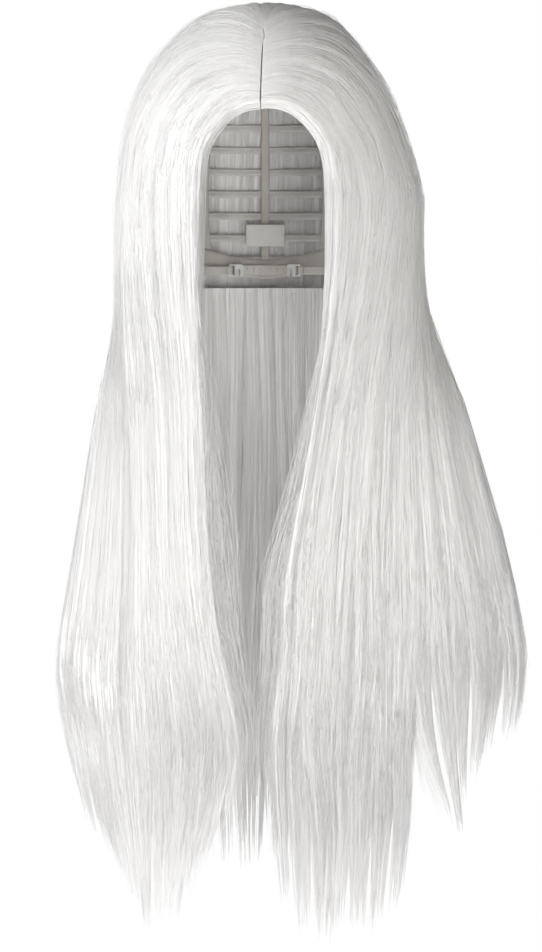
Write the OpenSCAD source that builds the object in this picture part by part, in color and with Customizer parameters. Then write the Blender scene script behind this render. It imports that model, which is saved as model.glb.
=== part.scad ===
// Long straight costume wig: a wefted cap with a skin-top parting, and hair that
// hangs from it in falls. Millimetres, +Z up. The wearer faces -Y and the wearer's
// left is +X. The origin is the middle of the head opening, level with the eyes.

/* [Cap] */
// Half width of the cap at eye level
cap_half_width = 78; // [74:1:80]
// Reach of the cap in front of the origin
cap_front = 90; // [87:1:91]
// Reach of the cap behind the origin
cap_back = 98; // [95:1:101]
// Height of the cap's crown above the origin
cap_height = 122; // [118:1:124]
// Height of the front hem above eye level, at the middle of the forehead
forehead_hem = 61; // [58:1:63]
// Depth of the nape hem below eye level
nape_hem = 60; // [56:1:62]
// Width of the folded binding along the front hem
front_band_width = 12; // [10:1:14]
// Width of the elastic along the nape hem
nape_band_width = 14; // [12:1:15]
// Width of the elastic ribs
rib_width = 8; // [6:1:9]
// Height of a sewn weft tape
weft_height = 5; // [4:0.5:6]
// Height between one weft and the next
weft_pitch = 16; // [14:1:16]
// Width of the skin strip under the parting
part_strip_width = 14; // [12:1:18]
// Length of an ear tab, top to bottom
ear_tab_length = 44; // [38:1:46]

/* [Hair over the head] */
// Half width of the hair at eye level
hair_half_width = 106; // [103:1:110]
// Reach of the hair in front of the origin
hair_front = 100; // [99:1:103]
// Reach of the hair behind the origin
hair_back = 122; // [119:1:126]
// Top of the hair above eye level
hair_top = 136; // [134:1:140]
// Back end of the parting, from the origin (negative is towards the forehead)
part_end = -56; // [-62:1:-40]
// Half width of the face opening at eye level
face_half_width = 48; // [45:1:52]

/* [Falls] */
// Length of the front falls below eye level
fall_length = 526; // [480:1:540]
// Length of the back fall below eye level
back_length = 500; // [460:1:520]
// Thickness of a fall near the head
fall_thickness = 20; // [16:1:21]
// Largest swing of a fall, in degrees
fall_swing = 20; // [10:1:24]

/* [Adjusters] */
// Height of an adjuster strap
strap_height = 6; // [5:0.5:6.5]
// Number of hook loops on each side of the nape
loops_per_side = 4; // [2:1:4]

/* [Hidden] */
$fn = 48;

// Colours
hair_white = [0.95, 0.95, 0.96];
tape_white = [0.90, 0.89, 0.87];
net_beige = [0.86, 0.80, 0.72];
skin_beige = [0.92, 0.82, 0.74];
hook_clear = [0.85, 0.87, 0.88];

// Every level slice of the cap and of the hair is an ellipse. Their profile from
// eye level to the crown is a superellipse of this power, a little squarer than an ellipse.
squareness = 2.2;
// Depth at which the cap's profile below eye level would close
cap_low = 110;

// Cap layers: distance outside the cap's surface at which each one starts and ends
base_layer = [0, 1.0];
weft_layer = [1.6, 2.6];
strip_layer = [1.5, 2.2];
lining_layer = [-2.0, -1.4];
tab_layer = [0, 1.2];
stay_layer = [1.5, 2.1];
hair_gap = 3.4;
root_top = 6;
seam_gap = 0.6;

// Hem of the cap: height at each azimuth, 0 in front and 180 behind
hem_line = [
    [0, forehead_hem], [25, forehead_hem - 7], [45, 38], [64, 14], [92, 8], [104, 10],
    [120, -16], [140, 10 - nape_hem], [160, 3 - nape_hem], [180, -nape_hem]
];
front_band_end = 64;
tab_middle = 76;
tab_half_angle = 10;
tab_top = 20;
nape_band_start = 92;
net_edge = 76;
rib_angles = [180, 146, 112];

// First azimuth at which a weft of each height can start, just clear of the ear
weft_start = [
    [-50, 146], [-34, 134], [-18, 124], [-2, 115], [14, 104], [28, 96], [29, 64], [80, 60]
];
weft_lowest = -46;

// Adjusters run on an arc about an upright axis inside the nape
nape_axis_y = 28.5;
tape_radius = [56.8, 57.6];
strap_radius = 53.6;
strap_thickness = 0.8;
fold_radius = 1.7;
strap_z = -53.5;
strap_arc = [30, 62];
loop_pitch = 4.8;
loop_ring = 1.3;
loop_wire = 0.4;
hook_length = 12;
hook_height = 9;
hook_thickness = 1.0;
hook_bar = 1.4;

// Falls: hinge heights, and the plan of each fall below the shoulders
fall_hinge_z = 12;
back_hinge_z = 0;
fall_hinge_x = [84, 81];
back_hinge_y = 95;
drape_drop = 150;
lock_seam = 75;
side_end = 118;
back_start = 121;
front_fall_y = [-97, -56];
side_fall_y = [-55, -12];
// Half widths by height, from the inner edge to the outer edge: wearer's left, then right
inner_edge = [
    [[-520, 14], [-380, 3], [-330, 10], [-260, 12], [-200, 25], [-130, 36], [0, 48]],
    [[-500, 45], [-380, 14], [-300, 33], [-230, 40], [-130, 44], [0, 48]]
];
lock_edge = [
    [[-520, 92], [-440, 110], [-340, 104], [-200, 100], [0, 102]],
    [[-500, 82], [-340, 95], [-200, 94], [0, 102]]
];
outer_edge = [
    [[-440, 140], [-350, 183], [-300, 178], [-210, 158], [-130, 137], [0, 110]],
    [[-500, 92], [-430, 130], [-340, 150], [-230, 133], [-130, 117], [0, 106]]
];
// Shortfall of each tip from the full length: inner edge, outer edge, and middle belly
front_tips = [[8, 36, 14], [70, 40, 28]];
side_tips = [[78, 150, 10], [52, 112, 10]];

// ---- Functions ----

function mix(a, b, w) = a + (b - a) * w;
function smooth(v) = let (c = max(0, min(1, v))) c * c * (3 - 2 * c);
function steps(n) = [for (i = [0 : n]) i / n];

// Size of the level slice at height z, as a share of the slice at eye level
function slice(z, height) = pow(1 - pow(abs(z) / height, squareness), 1 / squareness);

// Point on the cap at an azimuth and a height, off outside its surface
function cap_at(az, z, off) =
    let (r = slice(z, (z < 0 ? cap_low : cap_height) + off),
         reach = cos(az) > 0 ? cap_front : cap_back)
    [(cap_half_width + off) * r * sin(az), -(reach + off) * r * cos(az), z];

// Point of the cap's surface in the direction of d, off outside it
function cap_toward(d, off) =
    let (reach = d.y < 0 ? cap_front : cap_back,
         level = norm([d.x / (cap_half_width + off), d.y / (reach + off)]),
         rise = abs(d.z) / ((d.z < 0 ? cap_low : cap_height) + off))
    d * pow(pow(level, squareness) + pow(rise, squareness), -1 / squareness);

function hem_z(az) = lookup(abs(az), hem_line);

// Plan of the hair's rim at eye level
function rim(az) = [hair_half_width * sin(az), -(cos(az) > 0 ? hair_front : hair_back) * cos(az)];

// Point of the hair's surface over a plan point
function hair_over(p) =
    let (level = norm([p.x / hair_half_width, p.y / (p.y < 0 ? hair_front : hair_back)]))
    [p.x, p.y, hair_top * pow(max(0, 1 - pow(level, squareness)), 1 / squareness)];

// Share of the way from root to rim at which a strand comes down to height z
function strand_reach(root, end, z, low = 0, high = 1, tries = 16) =
    tries == 0 ? low
    : let (middle = (low + high) / 2)
      hair_over(mix(root, end, middle)).z > z
      ? strand_reach(root, end, z, middle, high, tries - 1)
      : strand_reach(root, end, z, low, middle, tries - 1);

// ---- Solids between two surfaces ----

// Closed solid between two grids of points. Grid a lies on the side that the
// direction of the rows crossed with the direction of the columns points to.
module slab(a, b) {
    rows = len(a);
    cols = len(a[0]);
    function id(side, i, j) = (side * rows + i) * cols + j;
    function quad(p, q, r, s) = [[p, q, r], [p, r, s]];
    last_row = rows - 1;
    last_col = cols - 1;
    points = [for (grid = [a, b]) for (row = grid) each row];
    skins = [for (i = [0 : last_row - 1], j = [0 : last_col - 1]) each concat(
        quad(id(0, i, j), id(0, i, j + 1), id(0, i + 1, j + 1), id(0, i + 1, j)),
        quad(id(1, i, j), id(1, i + 1, j), id(1, i + 1, j + 1), id(1, i, j + 1))
    )];
    row_walls = [for (j = [0 : last_col - 1]) each concat(
        quad(id(0, 0, j + 1), id(0, 0, j), id(1, 0, j), id(1, 0, j + 1)),
        quad(id(0, last_row, j), id(0, last_row, j + 1), id(1, last_row, j + 1), id(1, last_row, j))
    )];
    col_walls = [for (i = [0 : last_row - 1]) each concat(
        quad(id(0, i, 0), id(0, i + 1, 0), id(1, i + 1, 0), id(1, i, 0)),
        quad(id(0, i + 1, last_col), id(0, i, last_col), id(1, i, last_col), id(1, i + 1, last_col))
    )];
    polyhedron(points, concat(skins, row_walls, col_walls), convexity = 8);
}

// Patch of one cap layer between two azimuths, from z_low(az) to z_high(az)
module cap_patch(az0, az1, z_low, z_high, layer, across = 12, up = 2) {
    function grid(off) = [for (u = steps(across)) let (az = mix(az0, az1, u))
        [for (v = steps(up)) cap_at(az, mix(z_low(az), z_high(az), v), off)]];
    slab(grid(layer[1]), grid(layer[0]));
}

// ---- Cap ----

module crown_net() {
    turns = 22;
    front = [for (u = steps(turns)) let (az = mix(front_band_end, -front_band_end, u))
        cap_at(az, hem_z(az) + front_band_width + seam_gap, 0)];
    back = [for (u = steps(turns)) let (az = mix(front_band_end + 4, 356 - front_band_end, u))
        cap_at(az, net_edge, 0)];
    function grid(off) = [for (v = steps(16))
        [for (j = [0 : turns]) cap_toward(mix(front[j], back[j], v), off)]];
    color(net_beige) slab(grid(base_layer[1]), grid(base_layer[0]));
}

module front_band() {
    color(tape_white)
        cap_patch(-front_band_end, front_band_end, function(az) hem_z(az),
            function(az) hem_z(az) + front_band_width, base_layer, 28);
}

module nape_band() {
    color(tape_white)
        cap_patch(nape_band_start, 360 - nape_band_start,
            function(az) hem_z(az > 180 ? 360 - az : az),
            function(az) hem_z(az > 180 ? 360 - az : az) + nape_band_width, base_layer, 40);
}

// Ribbon along the parting, centred on it, from the front hem to the parting's end
module part_ribbon(width, layer) {
    front = cap_at(0, forehead_hem + 4, 0);
    back = [0, part_end, cap_height];
    function grid(off) = [for (v = steps(14))
        [for (side = [1, 0, -1]) cap_toward(mix(front, back, v) + [side * width / 2, 0, 0], off)]];
    slab(grid(layer[1]), grid(layer[0]));
}

module part_strip() {
    color(skin_beige) part_ribbon(part_strip_width, strip_layer);
}

module part_lining() {
    color(net_beige) part_ribbon(part_strip_width + 4, lining_layer);
}

// Tongue in front of the ear, on the wearer's left
module ear_tab() {
    shoulder = ear_tab_length / 3;
    tongue_end = function(az)
        let (w = (az - tab_middle) / tab_half_angle)
        tab_top - shoulder - (ear_tab_length - shoulder) * sqrt(max(0, 1 - w * w));
    color(tape_white)
        cap_patch(tab_middle - tab_half_angle, tab_middle + tab_half_angle,
            tongue_end, function(az) tab_top, tab_layer, 14, 4);
}

module ear_tab_left() {
    ear_tab();
}

module ear_tab_right() {
    mirror([1, 0, 0]) ear_tab();
}

// Bendable strip sewn to the outside of an ear tab
module ear_stay() {
    half_angle = 1.8;
    color(hook_clear)
        cap_patch(tab_middle - half_angle, tab_middle + half_angle,
            function(az) tab_top + 6 - ear_tab_length, function(az) tab_top - 6, stay_layer, 2, 4);
}

module ear_stay_left() {
    ear_stay();
}

module ear_stay_right() {
    mirror([1, 0, 0]) ear_stay();
}

// Elastic rib from the nape band up to the net
module rib(az) {
    half_angle = rib_width / 2 / cap_back * 180 / PI;
    color(tape_white)
        cap_patch(az - half_angle, az + half_angle,
            function(a) hem_z(a > 180 ? 360 - a : a) + nape_band_width + seam_gap,
            function(a) net_edge - seam_gap, base_layer, 2, 8);
}

module rib_center() {
    rib(rib_angles[0]);
}

module rib_back_left() {
    rib(rib_angles[1]);
}

module rib_back_right() {
    mirror([1, 0, 0]) rib(rib_angles[1]);
}

module rib_side_left() {
    rib(rib_angles[2]);
}

module rib_side_right() {
    mirror([1, 0, 0]) rib(rib_angles[2]);
}

// Machine-sewn weft tape, the row'th from the nape, open at the face
module weft_row(row) {
    z = weft_lowest + (row - 1) * weft_pitch;
    start = lookup(z, weft_start);
    color(tape_white)
        cap_patch(start, 360 - start, function(az) z - weft_height / 2,
            function(az) z + weft_height / 2, weft_layer, 32, 1);
}

module size_label() {
    label_size = [28, 0.4, 16];
    label_low = -36;
    inset = 4;
    y = cap_at(180, label_low, 0).y - inset;
    color("white") translate([-label_size.x / 2, y, label_low]) cube(label_size);
}

// ---- Adjusters ----

// Upright band on the nape's arc, between two angles from the middle of the nape
module nape_arc(angle0, angle1, radii, height) {
    translate([0, nape_axis_y, strap_z - height / 2])
        rotate([0, 0, 90 - angle1])
            rotate_extrude(angle = angle1 - angle0)
                translate([radii[0], 0]) square([radii[1] - radii[0], height]);
}

module loop_tape() {
    margin = loop_pitch;
    end = loop_pitch * loops_per_side + margin;
    color(tape_white) nape_arc(-end, end, tape_radius, strap_height + 2);
}

module tape_loops() {
    clearance = 0.2;
    color("white")
        for (side = [-1, 1], i = [1 : loops_per_side])
            translate([0, nape_axis_y, strap_z])
                rotate([0, 0, side * (i - 0.2) * loop_pitch])
                    translate([0, tape_radius[0] - clearance, 0])
                        rotate([0, 90, 0]) rotate([0, 0, 180])
                            rotate_extrude(angle = 180)
                                translate([loop_ring, 0]) circle(loop_wire);
}

// Places its children where the strap ends, with +X towards the middle of the nape
module at_strap_end() {
    translate([0, nape_axis_y, strap_z])
        rotate([0, 0, -strap_arc[0]])
            translate([0, strap_radius, 0]) mirror([1, 0, 0]) children();
}

// Outline of a strip of width w along a path
function stroke(path, w) =
    let (last = len(path) - 1,
         sides = [for (i = [0 : last]) let (d = path[min(i + 1, last)] - path[max(i - 1, 0)])
             [-d.y, d.x] / norm(d) * w / 2])
    concat([for (i = [0 : last]) path[i] + sides[i]], [for (i = [last : -1 : 0]) path[i] - sides[i]]);

// Strap on the wearer's left, its end folded round the hook's bar
module strap() {
    run = strap_arc[1] - strap_arc[0];
    along = [for (u = steps(8)) let (a = run * (1 - u))
        strap_radius * [-sin(a), cos(a) - 1]];
    fold = [for (a = [30 : 20 : 290]) fold_radius * [sin(a), cos(a) - 1]];
    color(tape_white)
        at_strap_end()
            translate([0, 0, -strap_height / 2])
                linear_extrude(strap_height) polygon(stroke(concat(along, fold), strap_thickness));
}

module strap_left() {
    strap();
}

module strap_right() {
    mirror([1, 0, 0]) strap();
}

// Flat hook: a frame whose bar sits in the strap's fold, and a slit that opens downwards
module hook() {
    corner = 1.5;
    window = [3.4, strap_height + 0.8];
    slit = [1.8, 5.5];
    color(hook_clear)
        at_strap_end()
            translate([0, -fold_radius, 0]) rotate([90, 0, 0])
                linear_extrude(hook_thickness, center = true)
                    difference() {
                        translate([hook_length / 2 - hook_bar / 2, 0])
                            rounded_plate([hook_length, hook_height], corner);
                        translate([hook_bar / 2, -window.y / 2]) square(window);
                        translate([hook_length - 3.2 - slit.x, -hook_height / 2 - 1])
                            square([slit.x, slit.y + 1]);
                    }
}

module rounded_plate(size, corner) {
    square([size.x - 2 * corner, size.y], center = true);
    square([size.x, size.y - 2 * corner], center = true);
    for (x = [-1, 1], y = [-1, 1])
        translate([x * (size.x / 2 - corner), y * (size.y / 2 - corner)]) circle(corner);
}

module hook_left() {
    hook();
}

module hook_right() {
    mirror([1, 0, 0]) hook();
}

// ---- Hair on the head ----

// Strands from roots(u) to the rim at azimuth az0..az1, cut off at height z_end.
// valley is how far from the parting the hair takes to rise to its full height.
module combed_hair(az0, az1, roots, z_end, valley, across, along) {
    function strand_point(u, v) =
        let (root = roots(u), end = rim(mix(az0, az1, u)),
             turn = asin(strand_reach(root, end, z_end)))
        hair_over(mix(root, end, sin(turn * v)));
    function rise(p) = valley > 0 ? smooth(p.x / valley) : 1;
    outer = [for (u = steps(across)) [for (v = steps(along)) let (p = strand_point(u, v))
        mix(cap_toward(p, root_top), p, rise(p))]];
    inner = [for (u = steps(across)) [for (v = steps(along)) cap_toward(strand_point(u, v), hair_gap)]];
    color(hair_white) slab(inner, outer);
}

// Hair on the wearer's left, combed sideways from the parting
module top_hair() {
    part_half_gap = 1.2;
    front_y = -hair_front * slice(forehead_hem + 2, hair_top);
    first_az = asin(face_half_width / hair_half_width);
    combed_hair(first_az, side_end, function(u) [part_half_gap, mix(front_y, part_end, u)],
        fall_hinge_z + 2, 28, 20, 14);
}

module top_hair_left() {
    top_hair();
}

module top_hair_right() {
    mirror([1, 0, 0]) top_hair();
}

// Hair combed back from the end of the parting
module crown_hair() {
    whorl = 3;
    start = back_start - 1;
    combed_hair(start, 360 - start,
        function(u) let (az = mix(start, 360 - start, u))
            [whorl * sin(az), part_end + 2 - whorl * cos(az)],
        back_hinge_z + 2, 0, 28, 14);
}

// ---- Falls ----

// A fall between two grids of plan points: from its top edge to its tips.
// plan(u, z) is its outer face, top(u) and tip(u) its ends, and thick(u, z) its thickness.
module fall(az0, az1, low, top, tip, thick, across, along) {
    function outer(u, z) =
        let (az = mix(az0, az1, u),
             head = rim(az) * (z > 0 ? slice(z, hair_top) : 1))
        mix(head, low(u, z), smooth(-z / drape_drop));
    function inward(u, z) =
        let (head = -rim(mix(az0, az1, u)),
             d = mix(head / norm(head), [0, az1 > 180 ? -1 : 1], smooth(-z / drape_drop)))
        d / norm(d);
    function grid(share) = [for (u = steps(across)) [for (v = steps(along))
        let (z = mix(top(u), tip(u), v),
             p = outer(u, z) + inward(u, z) * thick(u, z) * share)
        [p.x, p.y, z]]];
    color(hair_white) slab(grid(1), grid(0));
}

// Thickness that thins towards the edges and the tips
function lock_thickness(u, z, t0, t1) =
    mix(t0, t1, u) * mix(1, 0.45, smooth(-z / fall_length)) * (0.55 + 0.45 * sqrt(sin(180 * u)));

// Height of a fall's top edge: it slopes so that the fall can swing out under the hair above
function fall_top(x, hinge_x, hinge_z) =
    hinge_z - seam_gap - max(0, x - hinge_x) * tan(fall_swing + 2);

function tip_z(u, tips, length) = -length + mix(tips[0], tips[1], u) - tips[2] * sin(180 * u);

// Inner part of a front fall; side 0 is the wearer's left
module front_lock(side) {
    first_az = asin(face_half_width / hair_half_width);
    last_az = lock_seam - 0.8;
    fall(first_az, last_az,
        function(u, z) [
            mix(lookup(z, inner_edge[side]), lookup(z, lock_edge[side]) - 1, u),
            mix(front_fall_y[0], front_fall_y[1], pow(u, 1.5))
        ],
        function(u) fall_top(rim(mix(first_az, last_az, u)).x, fall_hinge_x[side], fall_hinge_z),
        function(u) tip_z(u, front_tips[side], fall_length),
        function(u, z) lock_thickness(u, z, fall_thickness * 0.7, fall_thickness), 12, 22);
}

// Outer part of a front fall
module side_lock(side) {
    first_az = lock_seam + 0.8;
    fall(first_az, side_end,
        function(u, z) [
            mix(lookup(z, lock_edge[side]) + 1, lookup(z, outer_edge[side]), u),
            mix(side_fall_y[0], side_fall_y[1], pow(u, 1.4))
        ],
        function(u) fall_top(rim(mix(first_az, side_end, u)).x, fall_hinge_x[side], fall_hinge_z),
        function(u) tip_z(u, side_tips[side], fall_length),
        function(u, z) lock_thickness(u, z, fall_thickness, fall_thickness * 0.9), 10, 22);
}

module front_lock_left() {
    front_lock(0);
}

module front_lock_right() {
    mirror([1, 0, 0]) front_lock(1);
}

module side_lock_left() {
    side_lock(0);
}

module side_lock_right() {
    mirror([1, 0, 0]) side_lock(1);
}

module back_fall() {
    half_width = [[-back_length, 84], [-300, 100], [0, 92]];
    back_y = 114;
    side_curve = 20;
    az1 = 360 - back_start;
    fall(back_start, az1,
        function(u, z) [(1 - 2 * u) * lookup(z, half_width), back_y - side_curve * pow(2 * u - 1, 2)],
        function(u) fall_top(rim(mix(back_start, az1, u)).y, back_hinge_y, back_hinge_z),
        function(u) tip_z(u, [50, 50, 50], back_length),
        function(u, z) lock_thickness(u, z, fall_thickness - 3, fall_thickness - 3), 20, 20);
}

// Shorter hair from the lowest wefts, between the neck and the back fall
module nape_hair() {
    half_width = 52;
    outer_y = 87;
    side_curve = 10;
    top_z = -nape_hem - 5;
    tips_z = [-420, -20];
    function grid(depth) = [for (u = steps(10)) [for (v = steps(12))
        let (x = half_width * (1 - 2 * u))
        [x, outer_y - side_curve * pow(2 * u - 1, 2) - depth * (1 - 0.5 * v),
            mix(top_z, tips_z[0] + tips_z[1] * sin(180 * u), v)]]];
    color(hair_white) slab(grid(6), grid(0));
}

crown_net();
front_band();
nape_band();
part_strip();
part_lining();
ear_tab_left();
ear_tab_right();
ear_stay_left();
ear_stay_right();
rib_center();
rib_back_left();
rib_back_right();
rib_side_left();
rib_side_right();
weft_row(1);  // weft_row_1
weft_row(2);  // weft_row_2
weft_row(3);  // weft_row_3
weft_row(4);  // weft_row_4
weft_row(5);  // weft_row_5
weft_row(6);  // weft_row_6
weft_row(7);  // weft_row_7
weft_row(8);  // weft_row_8
size_label();
loop_tape();
tape_loops();
strap_left();
strap_right();
hook_left();
hook_right();
top_hair_left();
top_hair_right();
crown_hair();
front_lock_left();
front_lock_right();
side_lock_left();
side_lock_right();
back_fall();
nape_hair();
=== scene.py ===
import math

import bpy
import numpy as np
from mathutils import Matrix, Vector


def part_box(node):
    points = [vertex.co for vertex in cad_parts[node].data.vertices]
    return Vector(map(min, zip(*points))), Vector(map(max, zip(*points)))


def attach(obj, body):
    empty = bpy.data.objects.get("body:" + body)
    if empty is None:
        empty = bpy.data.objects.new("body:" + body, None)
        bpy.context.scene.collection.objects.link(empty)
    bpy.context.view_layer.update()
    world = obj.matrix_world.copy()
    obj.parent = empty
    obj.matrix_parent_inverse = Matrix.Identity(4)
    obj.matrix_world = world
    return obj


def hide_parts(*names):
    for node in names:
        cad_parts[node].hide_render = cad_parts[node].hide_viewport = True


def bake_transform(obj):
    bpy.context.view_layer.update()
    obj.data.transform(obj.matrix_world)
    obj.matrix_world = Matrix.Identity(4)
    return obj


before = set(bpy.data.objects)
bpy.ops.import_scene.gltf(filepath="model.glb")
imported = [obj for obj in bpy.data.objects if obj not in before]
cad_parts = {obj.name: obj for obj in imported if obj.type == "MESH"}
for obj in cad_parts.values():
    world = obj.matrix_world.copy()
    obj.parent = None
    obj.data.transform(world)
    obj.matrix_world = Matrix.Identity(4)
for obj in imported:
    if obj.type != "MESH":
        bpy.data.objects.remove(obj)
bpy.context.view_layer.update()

# Long straight costume wig. Lengths in the tables below are millimetres, in the CAD's frame:
# +Z up, the wearer faces -Y, the wearer's left is +X. Meshes are made in metres.
MM = 0.001

# ---- Sizes repeated from the CAD ----
SQUARENESS = 2.2
CAP_HALF, CAP_FRONT, CAP_BACK, CAP_HIGH, CAP_LOW = 78.0, 90.0, 98.0, 122.0, 110.0
HAIR_HALF, HAIR_FRONT, HAIR_BACK, HAIR_TOP = 106.0, 100.0, 122.0, 136.0
FOREHEAD_HEM = 61.0
PART_FRONT_Y, PART_END_Y = -91.2, -56.0
FIRST_AZ, SEAM_AZ, SIDE_AZ = 26.9, 75.0, 118.0
DRAPE_DROP = 150.0
FALL_LENGTH = 526.0
HAIR_GAP = 3.4
HEM = [(0, 61), (25, 54), (45, 38), (64, 14), (92, 8), (104, 10), (120, -16), (140, -50),
       (160, -57), (180, -60)]

# ---- Outlines, finer than the CAD's, and at the outer edges a little wider ----
# Sideways wander of the parting by distance from its front end
PART_WANDER = [(0, -3.1), (6, -2.7), (16, -2.0), (24, -1.5), (27, -0.3), (30, -0.8), (34, -1.6),
               (40, -1.5)]
# Half widths of the front curtains by height, from the inner edge to the outer edge
INNER = {1: [(-520, 14), (-380, 2), (-330, 10), (-260, 12), (-200, 25), (-130, 36), (0, 48)],
         -1: [(-500, 46), (-470, 36), (-440, 26), (-377, 10), (-352, 21), (-300, 33), (-230, 40),
              (-130, 43), (0, 48)]}
SEAM = {1: [(-520, 94), (-440, 106), (-340, 104), (-200, 100), (0, 102)],
        -1: [(-500, 84), (-340, 95), (-200, 94), (0, 102)]}
OUTER = {1: [(-520, 156), (-441, 156), (-384, 178), (-342, 187), (-295, 178), (-238, 166),
             (-181, 150), (-130, 137), (0, 112)],
         -1: [(-520, 94), (-489, 108), (-467, 119), (-433, 132), (-377, 142), (-342, 150), (-296, 142),
              (-231, 132), (-156, 121), (-130, 117), (0, 106)]}
# Room between the inner and the outer lock of the wearer's left curtain, near their tips
SPLIT = [(-450, 30), (-423, 17), (-377, 4), (-340, 0)]
# Height of the tips across each panel, 0 for the back fall
TIPS = {1: [(0, -488), (0.08, -503), (0.3, -510), (0.48, -498), (0.527, -462), (0.53, -420),
            (0.6, -441), (0.68, -430), (0.78, -408), (0.88, -388), (1, -366)],
        -1: [(0, -430), (0.1, -462), (0.25, -492), (0.45, -500), (0.6, -498), (0.75, -484),
             (0.9, -452), (1, -425)],
        0: [(0, -430), (0.12, -470), (0.5, -492), (0.88, -470), (1, -430)]}
# The wearer's left side is slimmer at the crown and fuller at the cheek
FULLNESS = {1: [(-130, 1.0), (0, 1.05), (16, 1.015), (37, 0.975), (56, 0.945), (78, 0.925),
                (110, 0.88), (136, 0.88)],
            -1: [(-130, 1.0), (-4, 0.985), (24, 0.97), (136, 0.955)]}


def mix(a, b, w):
    return a + (b - a) * w


def smooth(v):
    c = np.clip(v, 0, 1)
    return c * c * (3 - 2 * c)


def lookup(z, table):
    keys, values = zip(*table)
    return np.interp(z, keys, values)


def slice_share(z, height):
    return np.maximum(0, 1 - np.abs(z / height) ** SQUARENESS) ** (1 / SQUARENESS)


def rim(az):
    """Plan of the hair's widest level at an azimuth."""
    c = np.cos(np.radians(az))
    reach = np.where(c > 0, HAIR_FRONT, HAIR_BACK)
    return np.stack([HAIR_HALF * np.sin(np.radians(az)), -reach * c], -1)


def hair_over(p):
    """Point of the hair's surface over a plan point."""
    level = np.hypot(p[..., 0] / HAIR_HALF, p[..., 1] / np.where(p[..., 1] < 0, HAIR_FRONT, HAIR_BACK))
    z = HAIR_TOP * np.maximum(0, 1 - level ** SQUARENESS) ** (1 / SQUARENESS)
    return np.concatenate([p, z[..., None]], -1)


def cap_toward(d, off):
    """Point of the cap's surface in the direction of d, off outside it."""
    reach = np.where(d[..., 1] < 0, CAP_FRONT, CAP_BACK) + off
    level = np.hypot(d[..., 0] / (CAP_HALF + off), d[..., 1] / reach)
    rise = np.abs(d[..., 2]) / (np.where(d[..., 2] < 0, CAP_LOW, CAP_HIGH) + off)
    share = (level ** SQUARENESS + rise ** SQUARENESS) ** (-1 / SQUARENESS)
    return d * share[..., None]


def cap_at(az, z, off):
    """Point on the cap at an azimuth and a height, off outside its surface."""
    az, z = np.broadcast_arrays(np.asarray(az, float), np.asarray(z, float))
    a = np.radians(az)
    r = slice_share(z, np.where(z < 0, CAP_LOW, CAP_HIGH) + off)
    reach = np.where(np.cos(a) > 0, CAP_FRONT, CAP_BACK) + off
    return np.stack([(CAP_HALF + off) * r * np.sin(a), -reach * r * np.cos(a), z], -1)


def unit(v):
    return v / np.maximum(np.linalg.norm(v, axis=-1, keepdims=True), 1e-9)


# ---- Meshes ----
def make_mesh(name, points, quads, tris, fibre=None):
    """A mesh object from points in millimetres; fibre is a 3-vector a point for the materials."""
    points = np.asarray(points, np.float32).reshape(-1, 3) * MM
    quads = np.asarray(quads, np.int32).reshape(-1, 4)
    tris = np.asarray(tris, np.int32).reshape(-1, 3)
    me = bpy.data.meshes.new(name)
    me.vertices.add(len(points))
    me.vertices.foreach_set("co", points.ravel())
    me.loops.add(quads.size + tris.size)
    me.loops.foreach_set("vertex_index", np.concatenate([quads.ravel(), tris.ravel()]))
    me.polygons.add(len(quads) + len(tris))
    starts = np.concatenate([np.arange(len(quads)) * 4, quads.size + np.arange(len(tris)) * 3])
    me.polygons.foreach_set("loop_start", starts.astype(np.int32))
    me.polygons.foreach_set("use_smooth", np.full(len(starts), True))
    if fibre is not None:
        layer = me.attributes.new("fibre", "FLOAT_VECTOR", "POINT")
        layer.data.foreach_set("vector", np.asarray(fibre, np.float32).ravel())
    me.update()
    me.validate()
    ob = bpy.data.objects.new(name, me)
    bpy.context.scene.collection.objects.link(ob)
    return ob


def tube_faces(count, rows, ring, base=0):
    """Quads and cap triangles of closed tubes: points are ordered tube, row, ring."""
    t, r, k = np.meshgrid(np.arange(count), np.arange(rows - 1), np.arange(ring), indexing="ij")
    a = (t * rows + r) * ring + k
    b = (t * rows + r) * ring + (k + 1) % ring
    quads = np.stack([a, b, b + ring, a + ring], -1).reshape(-1, 4)
    caps = []
    first = np.arange(count) * rows * ring
    last = first + (rows - 1) * ring
    for k in range(1, ring - 1):
        caps.append(np.stack([first, first + k + 1, first + k], -1))
        caps.append(np.stack([last, last + k, last + k + 1], -1))
    return quads + base, np.concatenate(caps) + base


def join(parts):
    """Several (points, quads, tris, fibre) as one."""
    points, quads, tris, fibre, base = [], [], [], [], 0
    for p, q, t, f in parts:
        p = np.asarray(p).reshape(-1, 3)
        points.append(p)
        quads.append(np.asarray(q).reshape(-1, 4) + base)
        tris.append(np.asarray(t).reshape(-1, 3) + base)
        fibre.append(np.asarray(f).reshape(-1, 3))
        base += len(p)
    return (np.concatenate(points), np.concatenate(quads), np.concatenate(tris), np.concatenate(fibre))


# ---- The hair's space ----
# A panel of hair is a sheet: u runs across it, q along it. q 0..1 is on the head, from the root to
# z = HEAD_END, and q 1..2 is the fall, FALL_SPAN long. depth is millimetres in from its outer skin.
HEAD_END, FALL_SPAN = 14.0, 600.0
NU, NQ_HEAD, NQ_FALL = 81, 48, 84
U_PAD = 0.04
PART_GAP = 0.45  # from the parting's line to the roots beside it
CROWN_ROOT_RADIUS, CROWN_ROOT_STEP = 0.5, 0.6  # ring of roots at the parting's back end
PART_LOW = (10.4, 12.3)  # the hair's height over the cap at the parting, front and back
PART_SINK = 16  # distance from the parting over which the hair rises to its full height
HEAD_THICK, FRONT_THICK, BACK_THICK = 20, 19, 17


def q_of(z):
    return 1 + (HEAD_END - z) / FALL_SPAN


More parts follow.
